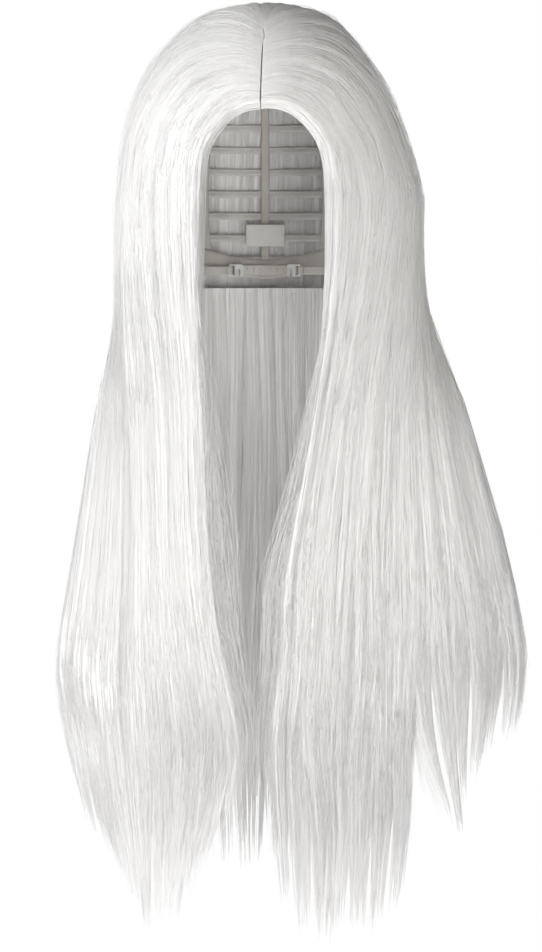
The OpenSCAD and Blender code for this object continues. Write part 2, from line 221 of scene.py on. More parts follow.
def part_distance(p):
    """Plan distance from the visible parting."""
    past = np.maximum(0, np.maximum(p[..., 1] - PART_END_Y, PART_FRONT_Y - p[..., 1]))
    return np.hypot(p[..., 0], past)


def part_wander(y):
    """Sideways wander of the parting, with the small kink near its back end."""
    return lookup(y - PART_FRONT_Y, PART_WANDER)


class Panel:
    start = 0.0  # q at the roots

    def tips(self, u):
        return tip_height(self.side, u)

    def __init__(self, side):
        self.side = side
        u = np.linspace(-U_PAD, 1 + U_PAD, NU)
        self.az = mix(FIRST_AZ, SIDE_AZ, u) if side else mix(SIDE_AZ, 360 - SIDE_AZ, u)
        end = rim(self.az)
        if side:
            y = mix(PART_FRONT_Y, PART_END_Y, u)
            root = np.stack([PART_GAP + side * part_wander(y), y], -1)
        else:
            a = np.radians(self.az)
            root = np.stack([CROWN_ROOT_RADIUS * np.sin(a) + part_wander(PART_END_Y),
                             PART_END_Y - CROWN_ROOT_STEP - CROWN_ROOT_RADIUS * np.cos(a)], -1)
        lo, hi = np.zeros(NU), np.ones(NU)
        for _ in range(24):
            mid = (lo + hi) / 2
            above = hair_over(mix(root, end, mid[:, None]))[:, 2] > HEAD_END
            lo, hi = np.where(above, mid, lo), np.where(above, hi, mid)
        v = np.linspace(0, 1, NQ_HEAD)
        reach = np.sin(np.arcsin(lo)[:, None] * v)
        plan = mix(root[:, None], end[:, None], reach[..., None])
        skin = hair_over(plan)
        away = part_distance(plan)
        low_skin = cap_toward(skin, mix(*PART_LOW, smooth((plan[..., 1] - PART_FRONT_Y) / 38)))
        skin = mix(low_skin, skin, smooth(away / PART_SINK)[..., None])
        inner = cap_toward(skin, HAIR_GAP)
        gap = np.linalg.norm(inner - skin, axis=-1)
        head_t = np.minimum(gap, HEAD_THICK)
        head_d = unit(inner - skin)
        z = HEAD_END - np.linspace(0, FALL_SPAN, NQ_FALL)
        uu, zz = np.meshgrid(u, z, indexing="ij")
        low = self.low_plan(uu, zz)
        drop = smooth(-zz / DRAPE_DROP)
        head = end[:, None] * np.where(zz > 0, slice_share(zz, HAIR_TOP), 1)[..., None]
        plan = mix(head, low, drop[..., None])
        fall = np.concatenate([plan, zz[..., None]], -1)
        toward = mix(unit(-end)[:, None], np.array([0, 1.0 if side else -1.0]), drop[..., None])
        fall_d = np.concatenate([unit(toward), np.zeros_like(zz)[..., None]], -1)
        thick = FRONT_THICK if side else BACK_THICK
        thin_low = mix(1, 0.45, smooth(-zz / FALL_LENGTH))
        thin_inner = mix(0.72 if side else 1, 1, np.clip(uu * 2, 0, 1))
        fall_t = thick * thin_low * thin_inner
        skin = np.concatenate([skin, fall[:, 1:]], 1)
        inward = np.concatenate([head_d, fall_d[:, 1:]], 1)
        depth = np.concatenate([head_t, fall_t[:, 1:]], 1)
        self.skin = self.soften(skin)
        self.inward = unit(self.soften(inward))
        self.depth = self.soften(depth[..., None])[..., 0]
        self.shape()

    def low_plan(self, u, z):
        """Plan of the fall below the shoulders."""
        if not self.side:
            half = lookup(z, [(-500, 84), (-300, 100), (0, 92)])
            return np.stack([(1 - 2 * u) * half, 114 - 20 * (2 * u - 1) ** 2], -1)
        az = mix(FIRST_AZ, SIDE_AZ, u)
        u1 = np.clip((az - FIRST_AZ) / (SEAM_AZ - FIRST_AZ), -0.06, 1)
        u2 = np.clip((az - SEAM_AZ) / (SIDE_AZ - SEAM_AZ), 0, 1.06)
        front = mix(lookup(z, INNER[self.side]), lookup(z, SEAM[self.side]), u1)
        outer = mix(lookup(z, SEAM[self.side]), lookup(z, OUTER[self.side]), u2)
        x = np.where(az < SEAM_AZ, front, outer)
        if self.side > 0:  # the outer lock parts from the inner one near the tips
            x = x + np.where(az < SEAM_AZ, 0, lookup(z, SPLIT) * (1 - u2))
        y = np.where(az < SEAM_AZ, mix(-96, -56, np.clip(u1, 0, 1) ** 1.5), mix(-56, -13, u2 ** 1.4))
        return np.stack([x, y], -1)

    def soften(self, g):
        """Smooths the join of the head part and the fall along q."""
        out = g.copy()
        for _ in range(12):
            mid = (out[:, :-2] + 2 * out[:, 1:-1] + out[:, 2:]) / 4
            out[:, 1:-1] = mid
        w = smooth((np.arange(g.shape[1]) - NQ_HEAD + 14) / 10)[None, :, None]
        return mix(g, out, w)

    def shape(self):
        """Fits a curtain's width to its side of the head, and mirrors it to that side."""
        if self.side:
            x, z = self.skin[..., 0], self.skin[..., 2]
            w = smooth((np.abs(x) - 35) / 40)
            self.skin[..., 0] = x * mix(1, lookup(z, FULLNESS[self.side]), w)
            for g in (self.skin, self.inward):
                g[..., 0] *= self.side

    def grid_place(self, u, q):
        iu = np.clip((u + U_PAD) / (1 + 2 * U_PAD), 0, 1) * (NU - 1)
        iq = np.where(q < 1, np.clip(q, 0, 1) * (NQ_HEAD - 1),
                      NQ_HEAD - 1 + np.clip(q - 1, 0, 1) * (NQ_FALL - 1))
        return iu, iq

    def at(self, u, q, depth):
        """Points of the hair; depth in millimetres from the outer skin."""
        iu, iq = self.grid_place(u, q)
        iq = np.clip(iq, 0, self.skin.shape[1] - 1.001)
        iu = np.clip(iu, 0, NU - 1.001)
        i, j = iu.astype(int), iq.astype(int)
        fu, fq = (iu - i)[..., None], (iq - j)[..., None]

        def pick(g):
            g = g if g.ndim == 3 else g[..., None]
            return mix(mix(g[i, j], g[i + 1, j], fu), mix(g[i, j + 1], g[i + 1, j + 1], fu), fq)
        d = pick(self.inward)
        return pick(self.skin) + d * np.asarray(depth)[..., None], d

    def thickness(self, u, q):
        iu, iq = self.grid_place(u, q)
        i, j = np.clip(iu, 0, NU - 1).astype(int), np.clip(iq, 0, self.depth.shape[1] - 1).astype(int)
        return self.depth[i, j]


class NapePanel(Panel):
    """Shorter hair from the lowest wefts, inside the back fall."""
    top = -66.0
    start = q_of(top)
    half_width, outer_y, side_curve = 50.5, 86.4, 10
    thick_top, thick_low, thinning = 5.4, 2.6, 354

    def tips(self, u):
        return -412 - 18 * np.sin(np.pi * u)

    def __init__(self):
        self.side = 0
        u = np.linspace(-U_PAD, 1 + U_PAD, NU)
        z = HEAD_END - np.linspace(0, FALL_SPAN, NQ_FALL)
        z = np.minimum(np.concatenate([np.full(NQ_HEAD - 1, self.top), z]), self.top)
        uu, zz = np.meshgrid(u, z, indexing="ij")
        self.skin = np.stack([self.half_width * (1 - 2 * uu),
                              self.outer_y - self.side_curve * (2 * uu - 1) ** 2, zz], -1)
        self.inward = np.zeros_like(self.skin)
        self.inward[..., 1] = -1
        self.depth = mix(self.thick_top, self.thick_low, (self.top - zz) / self.thinning)


def waves(n, freqs, amps, q, seed_rng):
    """Smooth noise along q, one row an item."""
    out = np.zeros((n,) + np.shape(q)[1:])
    for f, a in zip(freqs, amps):
        ph = seed_rng.uniform(0, 1, (n, 1))
        fr = f * seed_rng.uniform(0.75, 1.25, (n, 1))
        am = a * seed_rng.uniform(0.5, 1.2, (n, 1))
        out = out + am * np.sin(2 * math.pi * (fr * q + ph))
    return out


# ---- Locks ----
def tip_height(side, u):
    """Height of the tips across a panel."""
    return lookup(u, TIPS[side])


class Locks:
    """The locks of one panel: centre line, half width, layer and tip of each."""
    def __init__(self, panel, edges, seed):
        self.panel = panel
        r, n = np.random.default_rng(seed), len(edges) - 1
        edges = np.array(edges)
        self.n = n
        self.mid = (edges[:-1] + edges[1:]) / 2
        self.half = (edges[1:] - edges[:-1]) / 2
        self.start = panel.start
        self.tip = panel.tips(self.mid) + r.uniform(-7, 7, n)
        self.first = np.arange(n) == 0
        self.last = np.arange(n) == n - 1
        self.layer = np.where(np.arange(n) % 2, 0.9, 0.0) + r.uniform(0, 0.8, n)
        self.phase = r.uniform(0, 1, (n, 8))
        self.taper = r.uniform(110, 190, n)

    def centre(self, q):
        """q has one row a lock."""
        ph = self.phase
        busy = 1.0 if self.panel.side > 0 else 0.7
        slow = 0.30 * np.sin(2 * math.pi * (1.3 * q + ph[:, 0:1]))
        quick = 0.16 * np.sin(2 * math.pi * (3.1 * q + ph[:, 1:2]))
        sway = slow + quick
        edge = (self.first | self.last)[:, None]
        grow = smooth(q / 0.5)
        return self.mid[:, None] + sway * self.half[:, None] * busy * grow * np.where(edge, 0.0, 1)

    def end_q(self):
        return q_of(self.tip)

    def ease(self, q):
        """1 along the lock, falling to 0 at its tip."""
        left = (self.end_q()[:, None] - q) * FALL_SPAN
        return np.clip(left / self.taper[:, None], 0, 1)

    def half_at(self, q):
        e = self.ease(q)
        swell = 1.22 + 0.10 * np.sin(2 * math.pi * (2.1 * q + self.phase[:, 2:3])) * smooth(q / 0.4)
        return self.half[:, None] * swell * mix(0.45, 1, smooth(e))

    def crown(self, q):
        """How much the lock's edges fall away."""
        base = 1.5 if self.panel.side > 0 else 1.1
        wave = 1 + 0.55 * np.sin(2 * math.pi * (2.7 * q + self.phase[:, 3:4]))
        return base * wave * smooth(q / 0.35) + 0.15

    def outer(self, a, q):
        """Depth of the lock's face at a across it, -1..1."""
        c = self.crown(q)
        t = self.panel.thickness(np.broadcast_to(self.mid[:, None], q.shape), q)
        d = self.layer[:, None] * smooth(q / 0.3) + c * np.abs(a) ** 3
        lo, hi = self.first[:, None] & (a < 0), self.last[:, None] & (a > 0)
        round_off = t * 0.42 * (1 - np.sqrt(np.maximum(0, 1 - np.abs(a) ** 2.4)))
        free = np.where(lo & (self.panel.side != 0), 1, smooth((q - 0.75) / 0.4))
        return np.where(lo | hi, mix(c * np.abs(a) ** 3 * 0.3, round_off, free), d)


ROWS, FACE, BACKFACE = 100, 37, 13
ROOT_ROWS = [0.0, 0.0005, 0.0016, 0.004]  # close rows that round the roots' edge
BODY_SHORT = 40  # how far the locks' bodies stop short of the strands' tips
RIDGE_PITCH = (1.7, 2.6, 4.1)
CORE_DEPTH = 3.5  # a tip closes on a line at most this far under the skin


def lock_bodies(locks, which):
    """Closed, ridged bodies of some locks of a panel."""
    s = np.concatenate([ROOT_ROWS, np.linspace(0.0125, 1, ROWS - len(ROOT_ROWS))])
    body_end = (locks.end_q() - BODY_SHORT / FALL_SPAN)[:, None]
    q = locks.start + (body_end - locks.start) * np.broadcast_to(s, (locks.n, ROWS))
    ease = np.clip(locks.ease(q) - BODY_SHORT / locks.taper[:, None], 0, 1)
    mid, half = locks.centre(q), locks.half_at(q) * mix(0.15, 1, smooth(ease * 1.5))
    a_face, a_back = np.linspace(-1, 1, FACE), np.linspace(1, -1, BACKFACE)
    t = locks.panel.thickness(np.broadcast_to(locks.mid[:, None], q.shape), q)
    columns, fibres = [], []
    r = np.random.default_rng(5 + locks.n)
    ridge = r.uniform(0, 1, (locks.n, 4))
    for k, a in enumerate(np.concatenate([a_face, a_back])):
        face = k < FACE
        aa = np.full(q.shape, a)
        depth = locks.outer(aa, q)
        across = a * locks.half[:, None] * 170
        fine = sum(np.sin(2 * math.pi * (across / p + ridge[:, i:i + 1]
                                         + 0.8 * np.sin(2.3 * q * (i + 1) + i)))
                   for i, p in enumerate(RIDGE_PITCH))
        depth = depth + 0.17 * fine * smooth(q / 0.04) * (1 - np.abs(a) ** 6)
        if not face:
            depth = np.maximum(t - depth, depth + 0.4)
        centre_depth = np.minimum(t / 2, CORE_DEPTH)
        depth = mix(centre_depth, depth, np.clip(ease * 1.6, 0.12, 1))
        p, _ = locks.panel.at(mid + a * half, q, depth)
        columns.append(p)
        fibres.append(np.stack([np.broadcast_to(ridge[:, :1], q.shape), across + 0 * q, q * 0.6], -1))
    points = np.stack(columns, 2)[which]
    fibre = np.stack(fibres, 2)[which]
    quads, tris = tube_faces(len(which), ROWS, FACE + BACKFACE)
    return points, quads, tris, fibre


# ---- Strands ----
M = 28  # points along a strand
END_STEP = 0.0006  # short first and last steps keep the ends' shading off the rest
STRAND_RADIUS, STRAY_RADIUS, EDGE_STRAY_RADIUS = 0.19, 0.13, 0.14
UNDERSIDE_SHARE = 0.14  # share of a lock's strands that lie on its underside
WISP_SIZE = 11  # strands in a wisp
FULL_HALF = 0.038  # half width of the lock that per_lock is counted for
STRAY_LIFT, STRAY_SWAY = (0.6, 3.0), 2.5


def tubes(path, inward, radius, fibre_id, across):
    """Three-sided closed tubes along paths (n, M, 3)."""
    tangent = unit(np.gradient(path, axis=1))
    side = unit(np.cross(tangent, inward))
    up = np.cross(side, tangent)
    ring = []
    for k in range(3):
        ang = 2 * math.pi * k / 3 + math.pi / 6
        ring.append(path + (math.cos(ang) * side + math.sin(ang) * up) * radius[..., None])
    points = np.stack(ring, 2)
    n, m = path.shape[:2]
    quads, tris = tube_faces(n, m, 3)
    steps = np.linalg.norm(np.diff(path, axis=1), axis=-1)
    length = np.concatenate([np.zeros((n, 1)), np.cumsum(steps, 1)], 1)
    fibre = np.stack([np.broadcast_to(fibre_id[:, None], (n, m)),
                      np.broadcast_to(across[:, None], (n, m)), length * MM], -1)
    fibre = np.repeat(fibre[:, :, None], 3, 2)
    return points, quads, tris, fibre


def strand_s(n):
    """Positions along a strand, closer on the head."""
    inner = END_STEP + (1 - 2 * END_STEP) * np.linspace(0, 1, M - 2) ** 1.15
    return np.broadcast_to(np.concatenate([[0], inner, [1]]), (n, M))


def lock_strands(locks, which, per_lock, seed):
    """Strands of some locks of a panel, gathered in wisps."""
    r = np.random.default_rng(seed)
    rows, count = [], 0
    for k in which:
        n = int(per_lock * locks.half[k] / FULL_HALF)
        wisps = max(3, n // WISP_SIZE)
        wa = r.uniform(-1, 1, wisps)
        wb = r.uniform(0, 1, wisps) ** 1.4
        wt = locks.tip[k] + np.abs(r.normal(0, 22, wisps)) - r.uniform(0, 14, wisps)
        w = r.integers(0, wisps, n)
        rows.append((np.full(n, k), wa[w], r.normal(0, 0.075, n),
                     np.clip(wb[w] + r.normal(0, 0.16, n), 0, 1),
                     wt[w] + np.abs(r.normal(0, 9, n)) * r.choice([1, 1, 2.6], n) - 3, w + count))
        count += wisps
    k, a0, sa, b, tip, w = (np.concatenate(column) for column in zip(*rows))
    n = len(k)
    start = locks.start + r.uniform(0, 0.012, n) * (r.uniform(0, 1, n) < 0.7)
    q = start[:, None] + (q_of(tip) - start)[:, None] * strand_s(n)
    wisp_wave = waves(count, (1.1, 2.7, 5.2), (0.10, 0.07, 0.03), np.linspace(0, 2, 64)[None], r)
    wisp_lift = waves(count, (1.7, 3.9), (0.35, 0.2), np.linspace(0, 2, 64)[None], r)
    iq = np.clip(q / 2 * 63, 0, 62.99)
    j, f = iq.astype(int), iq - iq.astype(int)
    ww, lift = (mix(g[w[:, None], j], g[w[:, None], j + 1], f) for g in (wisp_wave, wisp_lift))
    own = waves(n, (1.5, 4.0), (0.035, 0.02), q, r)
    to_tip = (q_of(tip)[:, None] - q) * FALL_SPAN
    gather = mix(0.15, 1, smooth(to_tip / 90))
    a = a0[:, None] + ww * smooth(q / 0.4) + sa[:, None] * mix(1, 1.5, smooth(q - 1)) * gather + own
    a = np.clip(a, -1.06, 1.06)
    # locks are evaluated row by row, so take each strand's lock values at its own q
    view = LockView(locks, k)
    mid, half = view.centre(q), view.half_at(q)
    tip_near = 1 - np.clip((q_of(locks.tip[k])[:, None] - q) * FALL_SPAN / locks.taper[k][:, None], 0, 1)
    face = view.outer(a, q)
    flip = r.uniform(0, 1, n) < UNDERSIDE_SHARE
    t = locks.panel.thickness(mid, q)
    reach = smooth((q + 0.06) / 0.13)
    b_mm = (-0.65 + 0.9 * b)[:, None] * reach + 0.5 * lift * reach + 0.1 * smooth(q / 0.05)
    depth = np.where(flip[:, None], np.maximum(t - face - b_mm * 0.6, face + 0.5), face + b_mm)
    centre_depth = np.minimum(t / 2, CORE_DEPTH)
    depth = mix(depth, centre_depth, smooth(tip_near) * 0.75)
    depth = np.maximum(depth, -1.2)
    edge = (view.first & (a0 < -0.4)) | (view.last & (a0 > 0.4))
    rim_set = edge & (r.uniform(0, 1, n) < 0.6)
    rim_a = np.sign(a0)[:, None] * (1.02 + 0.7 * (b ** 2)[:, None] * smooth(q - 0.9)) + 0.5 * ww + own
    a = np.where(rim_set[:, None], rim_a, a)
    along = r.uniform(0.06, 0.9, n)[:, None]
    depth = np.where(rim_set[:, None], mix(t * along, centre_depth, smooth(tip_near) * 0.75), depth)
    fan = 1 + 0.5 * smooth(tip_near)
    path, d = locks.panel.at(mid + a * half * fan, q, depth)
    s = strand_s(n)
    body = STRAND_RADIUS * r.uniform(0.75, 1.25, n)[:, None]
    rad = body * mix(1, 0.28, smooth((s - 0.72) / 0.28)) * mix(0.8, 1, smooth(q / 0.1))
    return tubes(path, d, rad, r.uniform(0, 1, n), k + a0)


class LockView:
    """The same curves as Locks, with one row a strand."""
    def __init__(self, locks, k):
        for name in ("mid", "half", "tip", "first", "last", "layer", "phase", "taper"):
            setattr(self, name, getattr(locks, name)[k])
        self.panel, self.n = locks.panel, len(k)

    centre, end_q, ease, half_at, crown, outer = (Locks.centre, Locks.end_q, Locks.ease, Locks.half_at,
                                                  Locks.crown, Locks.outer)


def stray_tubes(path, inward, radius, s, u, r):
    """Tapered single fibres."""
    rad = radius * r.uniform(0.8, 1.2, len(u))[:, None] * mix(1, 0.4, smooth((s - 0.6) / 0.4))
    return tubes(path, inward, rad, r.uniform(0, 1, len(u)), u * 40)


def loose_strands(panel, n, seed):
    """Single stray fibres that ride a little off the surface."""
    r = np.random.default_rng(seed)
    u = r.uniform(0, 1, n)
    tip = tip_height(panel.side, np.clip(u, 0, 1)) + np.abs(r.normal(0, 45, n))
    start = r.uniform(0, 0.9, n)
    q = start[:, None] + (q_of(tip) - start)[:, None] * strand_s(n)
    du = waves(n, (0.8, 2.1), (0.016, 0.008), q, r)
    s = strand_s(n)
    off = r.uniform(*STRAY_LIFT, n)[:, None] * smooth(s * 4)
    off = off + waves(n, (1.6, 3.3), (0.3 * STRAY_SWAY, 0.15 * STRAY_SWAY), q, r) * smooth(s * 3)
    path, d = panel.at(u[:, None] + du, q, -np.clip(off, -1, 4.5))
    return stray_tubes(path, d, STRAY_RADIUS, s, u, r)


def inner_wisps(panel, n, seed, reach, span):
    """Fibres that stray from a curtain's inner edge into the gap in front of the chest."""
    r = np.random.default_rng(seed)
    u = r.uniform(0.0, 0.05, n)
    top = r.uniform(span[0], -40, n)
    tip = r.uniform(span[1], span[0] - 120, n)
    q = q_of(top)[:, None] + (q_of(tip) - q_of(top))[:, None] * strand_s(n)
    path, d = panel.at(u[:, None] + 0 * q, q, np.full(q.shape, 1.5))
    s = strand_s(n)
    bow = r.uniform(0.15, 1.0, n)[:, None] * reach
    bend = smooth(s * r.uniform(1.0, 1.8, n)[:, None])
    bend = bend - r.uniform(0, 0.6, n)[:, None] * smooth(s * 2 - 1)
    path[..., 0] -= panel.side * (bow * bend + waves(n, (1.5, 4.0), (1.6, 0.7), q, r) * smooth(s * 3))
    path[..., 1] += waves(n, (1.2, 2.8), (2.0, 1.0), q, r) * smooth(s * 3)
    return stray_tubes(path, d, EDGE_STRAY_RADIUS, s, u, r)


# ---- Cloth of the cap ----
BASE_LAYER, WEFT_LAYER, TAB_LAYER = (0, 1.0), (1.6, 2.6), (0, 1.2)  # distances outside the cap's surface
WEFT_Z, WEFT_STEP, WEFT_HALF = -46, 16, 2.5
# Azimuth at which a weft starts, by its height
WEFT_START = [(-50, 146), (-34, 134), (-18, 124), (-2, 115), (14, 104), (28, 96), (29, 64), (80, 60)]
NET_COUNT, NET_ROWS, NET_LEAN = 150, 44, 0.34  # threads of a family, points of a thread, its slant
TAB_AZ, TAB_TOP, TAB_LENGTH = 76, 20, 44


def slab(outer, inner, along, across):
    """Closed solid between two grids (n, m, 3), outer on the outside."""
    n, m = outer.shape[:2]
    i, j = np.meshgrid(np.arange(n - 1), np.arange(m - 1), indexing="ij")
    a = (i * m + j).ravel()
    face = np.stack([a, a + 1, a + m + 1, a + m], -1)
    back = face[:, ::-1] + n * m
    k, c = np.arange(n - 1), np.arange(m - 1)
    walls = []
    for ring, step, flip in ((k * m, m, 0), (k * m + m - 1, m, 1), (c, 1, 1), (c + (n - 1) * m, 1, 0)):
        w = np.stack([ring, ring + step, ring + step + n * m, ring + n * m], -1)
        walls.append(w[:, ::-1] if flip else w)
    fibre = np.stack([along, across, np.zeros_like(along)], -1)
    quads = np.concatenate([face, back] + walls)
    fibres = np.stack([fibre, fibre + [0, 0, 0.5]])
    return np.stack([outer, inner]), quads, np.zeros((0, 3), int), fibres


def edge_round(t):
    return np.sqrt(np.maximum(0.04, 1 - np.abs(t) ** 12))


def cap_cloth(az, z, layer, along, t, pitch=1.5, amp=0.1, across_mm=4.0):
    """Ribbed cloth on the cap: z is a grid (n along, m across), t is -1..1 across."""
    az, along, t = (np.broadcast_to(v, z.shape) for v in (az, along, t))
    half = (layer[1] - layer[0]) / 2
    middle = (layer[0] + layer[1]) / 2
    swell = (half - amp + amp * np.cos(2 * math.pi * along / pitch)) * edge_round(t)
    return slab(cap_at(az, z, middle + swell), cap_at(az, z, middle - swell), along, t * across_mm)


def thread(paths, normal, radius=0.24):
    """Closed threads along paths (n, k, 3)."""
    rad = np.full(paths.shape[:2], radius)
    n = len(paths)
    return tubes(paths, normal, rad, np.linspace(0, 1, n), np.zeros(n))


def stitches(az0, z0, az1, z1, off, radius=0.24):
    """Straight stitches on the cap from (az0, z0) to (az1, z1), sinking in at their ends."""
    f = np.array([0.0, 0.15, 0.5, 0.85, 1.0])
    lift = np.array([-0.25, 0.12, 0.2, 0.12, -0.25])
    az = mix(np.asarray(az0)[:, None], np.asarray(az1)[:, None], f)
    z = mix(np.asarray(z0)[:, None], np.asarray(z1)[:, None], f)
    sign = 1 if off > 0.5 else -1
    path = cap_at(az, z, off + sign * lift)
    return thread(path, unit(cap_at(az, z, off + 1) - cap_at(az, z, off)), radius)


def hem_z(az):
    a = np.where(az > 180, 360 - az, np.abs(az))
    return lookup(a, HEM)


def run_length(p):
    """Length along a line of points, at each of them."""
    return np.concatenate([[0], np.cumsum(np.linalg.norm(np.diff(p, axis=0), axis=1))])


def hem_tape(az0, az1, width, columns):
    """Tape along the hem, with a row of stitches near each edge, inside and outside."""
    az = np.linspace(az0, az1, columns)
    t = np.linspace(-1, 1, 9)
    low = hem_z(az)
    along = run_length(cap_at(az, low, 0))
    zz = low[:, None] + width * (t + 1) / 2
    parts = [cap_cloth(az[:, None], zz, BASE_LAYER, along[:, None], t, across_mm=width / 2)]
    marks = np.arange(1.5, along[-1] - 3, 3.4)
    a0, a1 = np.interp(marks, along, az), np.interp(marks + 2.3, along, az)
    for share in (0.13, 0.87):
        for off in BASE_LAYER:
            parts.append(stitches(a0, hem_z(a0) + share * width, a1, hem_z(a1) + share * width, off))
    return parts


def rib_tape(middle, side):
    """Upright elastic rib from the nape band to the net, with its edges overlocked."""
    half = 4.0 / CAP_BACK * 180 / math.pi
    t = np.linspace(-1, 1, 9)
    centre = middle if side >= 0 else 360 - middle
    az = centre + half * t
    low, high = hem_z(az) + 14.6, 75.4
    s = np.linspace(0, 1, 150)
    zz = mix(low[None], high, s[:, None])
    parts = [cap_cloth(az, zz, BASE_LAYER, zz - zz.min(), t)]
    marks = np.arange(zz[0].max() + 1, 74, 2.2)
    for edge in (-0.8, 0.8):
        a = np.full(len(marks), centre + half * edge)
        parts.append(stitches(a, marks, a, marks + 1.6, 0.0, 0.2))
    return parts


def weft_tape(row):
    """Machine-sewn weft: a flat tape, a zigzag and two lock stitch lines."""
    z = WEFT_Z + WEFT_STEP * (row - 1)
    start = lookup(z, WEFT_START)
    az = np.linspace(start, 360 - start, 420)
    t = np.linspace(-1, 1, 7)
    along = run_length(cap_at(az, float(z), 0))
    zz = np.broadcast_to(z + WEFT_HALF * t, (len(az), len(t)))
    parts = [cap_cloth(az[:, None], zz, WEFT_LAYER, along[:, None], t, 1.1, 0.09, WEFT_HALF)]
    zig = np.arange(1.0, along[-1] - 1, 1.3)
    za = np.interp(zig, along, az)
    zz1 = z + 0.9 * np.where(np.arange(len(za)) % 2, 1, -1)
    path = cap_at(za, zz1, 1.45)[None]
    parts.append(thread(path, unit(cap_at(za, zz1, 2.5) - cap_at(za, zz1, 1.5))[None], 0.2))
    marks = np.arange(1.0, along[-1] - 3, 3.0)
    a0, a1 = np.interp(marks, along, az), np.interp(marks + 2.1, along, az)
    for dz in (-1.9, 1.9):
        parts.append(stitches(a0, np.full(len(a0), z + dz), a1, np.full(len(a0), z + dz), 2.6, 0.2))
    return parts


def net_grid(j, v):
    """Point of the net: j runs 0..1 from temple to temple, v 0..1 from the front band to the back."""
    front_az, back_az = mix(64, -64, j), mix(68, 292, j)
    front = cap_at(front_az, hem_z(front_az) + 12.6, 0)
    back = cap_at(back_az, np.full(np.shape(j), 76.0), 0)
    return mix(front, back, v[..., None])


def net_threads():
    """Diamond net: two families of threads that cross."""
    parts = []
    for sign, off in ((1, 0.38), (-1, 0.62)):
        j0 = np.linspace(-NET_LEAN if sign > 0 else 0.0, 1.0 if sign > 0 else 1 + NET_LEAN, NET_COUNT)
        lo = np.clip(np.where(sign > 0, -j0, j0 - 1) / NET_LEAN, 0, 1)
        hi = np.clip(np.where(sign > 0, 1 - j0, j0) / NET_LEAN, 0, 1)
        keep = hi - lo > 0.04
        lo, hi, j0 = lo[keep], hi[keep], j0[keep]
        v = mix(lo[:, None], hi[:, None], np.linspace(0, 1, NET_ROWS))
        j = np.clip(j0[:, None] + sign * NET_LEAN * v, 0, 1)
        d = net_grid(j, v)
        path = cap_toward(d, off)
        parts.append(thread(path, unit(d), 0.34))
    border_j = np.linspace(0, 1, 300)
    for v in (0.004, 0.996):
        d = net_grid(border_j, np.full(300, v))[None]
        parts.append(thread(cap_toward(d, 0.5), unit(d), 0.42))
    return parts


def part_ribbon(width, layer, bumps):
    """Ribbon along the parting, centred on it."""
    front = cap_at(0, FOREHEAD_HEM + 4, 0)
    back = np.array([0, PART_END_Y, CAP_HIGH])
    s, t = np.linspace(0, 1, 90), np.linspace(-1, 1, 21)
    line = mix(front, back, s[:, None])
    d = line[:, None] + np.stack([t * width / 2, 0 * t, 0 * t], -1)
    ss, tt = np.meshgrid(s * 66, t, indexing="ij")
    half, middle = (layer[1] - layer[0]) / 2, (layer[0] + layer[1]) / 2
    swell = half * edge_round(tt) - bumps * (0.5 + 0.5 * np.cos(ss * 4.2) * np.cos(tt * width * 2.1))
    return [slab(cap_toward(d, middle + swell), cap_toward(d, middle - swell), ss, tt * width / 2)]


def tab_low(t):
    """Lower edge of the tongue at t across it, -1..1."""
    straight = TAB_LENGTH / 3
    return TAB_TOP - straight - (TAB_LENGTH - straight) * np.sqrt(np.maximum(0, 1 - t * t))


def tab_cloth(side):
    """Tongue in front of the ear, with an overlocked edge."""
    s, t = np.linspace(0, 1, 60), np.linspace(-1, 1, 25)
    az = TAB_AZ + 10 * t
    zz = mix(tab_low(t)[None], float(TAB_TOP), s[:, None])
    parts = [cap_cloth(az, zz, TAB_LAYER, zz - zz.min(), t, 1.3, 0.08, 13.0)]
    outline_t = np.sin(np.linspace(-1.45, 1.45, 60))
    oa = TAB_AZ + 9.3 * outline_t
    oz = tab_low(outline_t) + 1.0
    zig = np.where(np.arange(60) % 2, 0.9, -0.2)
    for off in TAB_LAYER:
        o = cap_at(oa, oz + zig, off)[None]
        parts.append(thread(o, unit(cap_at(oa, oz, 2) - cap_at(oa, oz, 0))[None], 0.2))
    return mirrored(parts, side)


def mirrored(parts, side):
    if side > 0:
        return parts
    return [(np.asarray(p) * [-1, 1, 1], np.asarray(q)[:, ::-1], np.asarray(t)[:, ::-1], f)
            for p, q, t, f in parts]


NAPE_AXIS_Y, STRAP_RADIUS, LOOP_RADIUS, STRAP_Z = 28.5, 53.6, 57.2, -53.5


def flat_band(path, height, thick, pitch=1.4, amp=0.09):
    """Upright webbing along a plan path (n, 2)."""
    step = run_length(path)
    s = np.linspace(0, step[-1], int(step[-1] / 0.35))
    line = np.stack([np.interp(s, step, path[:, k]) for k in (0, 1)], -1)
    d = np.gradient(line, axis=0)
    normal = unit(np.stack([-d[:, 1], d[:, 0]], -1))
    t = np.linspace(-1, 1, 11)
    swell = (thick / 2 - amp + amp * np.cos(2 * math.pi * s / pitch))[:, None] * edge_round(t)
    z = np.broadcast_to(STRAP_Z + t * height / 2, swell.shape)

    def side(sign):
        xy = line[:, None] + sign * normal[:, None] * swell[..., None]
        return np.concatenate([xy, z[..., None]], -1)
    ss = np.broadcast_to(s[:, None], swell.shape)
    return slab(side(1), side(-1), ss, t * height / 2 + 0 * ss), line, normal, s


